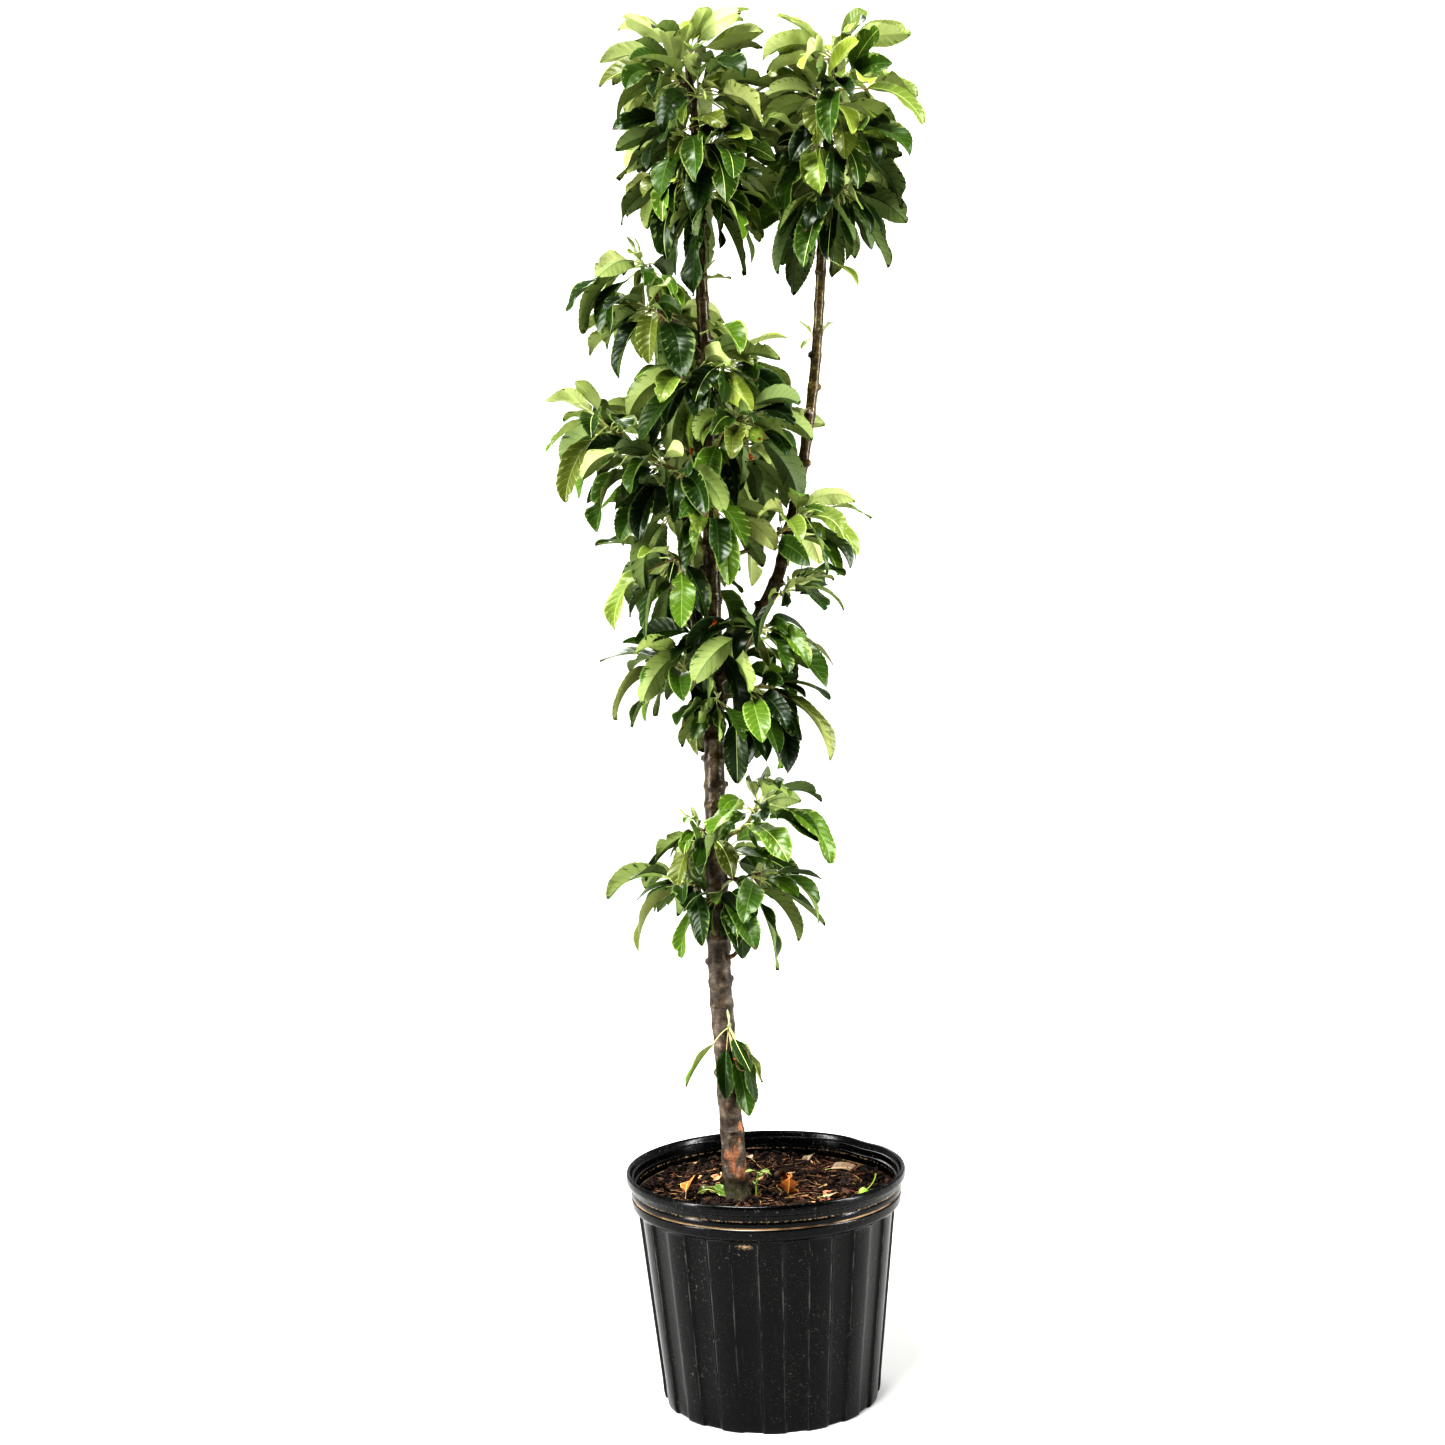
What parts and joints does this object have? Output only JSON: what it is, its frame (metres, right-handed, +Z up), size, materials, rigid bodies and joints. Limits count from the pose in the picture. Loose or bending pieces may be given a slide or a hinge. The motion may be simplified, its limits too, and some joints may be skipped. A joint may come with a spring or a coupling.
{
  "type": "potted columnar apple tree",
  "caption": "Young slim apple tree with an upright trunk, one tall side bough and tufts of drooping leaves on short spurs, growing in a black fluted nursery pot.",
  "frame": {"origin": "centre of the pot's flat underside", "axes": "+Z up along the pot's axis, -Y towards the picture's camera, +X to its right"},
  "size_m": [0.4078, 0.312, 1.5092],
  "materials": {
    "pot_plastic": "black blow-moulded polyethylene, faint sheen, dusty scuffs",
    "potting_mix": "dark composted bark with chips and twigs",
    "bark": "brown-grey bark with raised rings and small pores",
    "young_bark": "smooth olive-brown bark with pale pores",
    "young_leaf": "bright yellow-green young leaf, soft sheen",
    "leaf": "mid green leaf, glossy above and pale grey-green below",
    "old_leaf": "dark green glossy leaf"
  },
  "bodies": {
    "root": {"pot": "pot_plastic", "potting_mix": "potting_mix", "trunk": "bark", "right_bough": "young_bark", "left_shoot": "young_bark", "mid_left_branch": "young_bark", "leader_crest": "young_leaf", "leader_upper_left": "leaf", "leader_upper_front": "leaf", "leader_upper_back": "leaf", "leader_middle_left": "leaf", "leader_middle_right": "leaf", "leader_middle_back": "leaf", "leader_lower_left": "leaf", "leader_lower_front": "old_leaf", "leader_lower_back": "old_leaf", "right_crest": "young_leaf", "right_upper_outer": "leaf", "right_upper_front": "leaf", "right_upper_back": "leaf", "right_middle_outer": "leaf", "right_middle_inner": "leaf", "right_middle_back": "leaf", "right_lower_outer": "old_leaf", "right_lower_front": "old_leaf", "right_lower_back": "old_leaf", "mid_left_tip": "leaf", "mid_left_outer": "leaf", "mid_left_back": "leaf", "centre_right_upper": "leaf", "centre_front_upper": "leaf", "centre_back_upper": "leaf", "centre_far_left": "leaf", "centre_left_front": "leaf", "centre_left_back": "leaf", "centre_fruit": "leaf", "centre_right_back": "leaf", "centre_front_lower": "old_leaf", "right_arm": "leaf", "left_shoot_tip": "leaf", "left_shoot_side": "old_leaf", "back_arm": "leaf", "bough_outer": "leaf", "bough_front": "leaf", "fork_front": "leaf", "fork_left": "leaf", "fork_back": "leaf", "fork_right": "old_leaf", "fork_lower_front": "old_leaf", "lower_right_arm": "leaf", "lower_right_side": "old_leaf", "lower_left": "leaf", "lower_left_upper": "old_leaf", "lower_front": "old_leaf", "lower_back": "leaf", "low_twig": "old_leaf"}
  },
  "joints": []
}
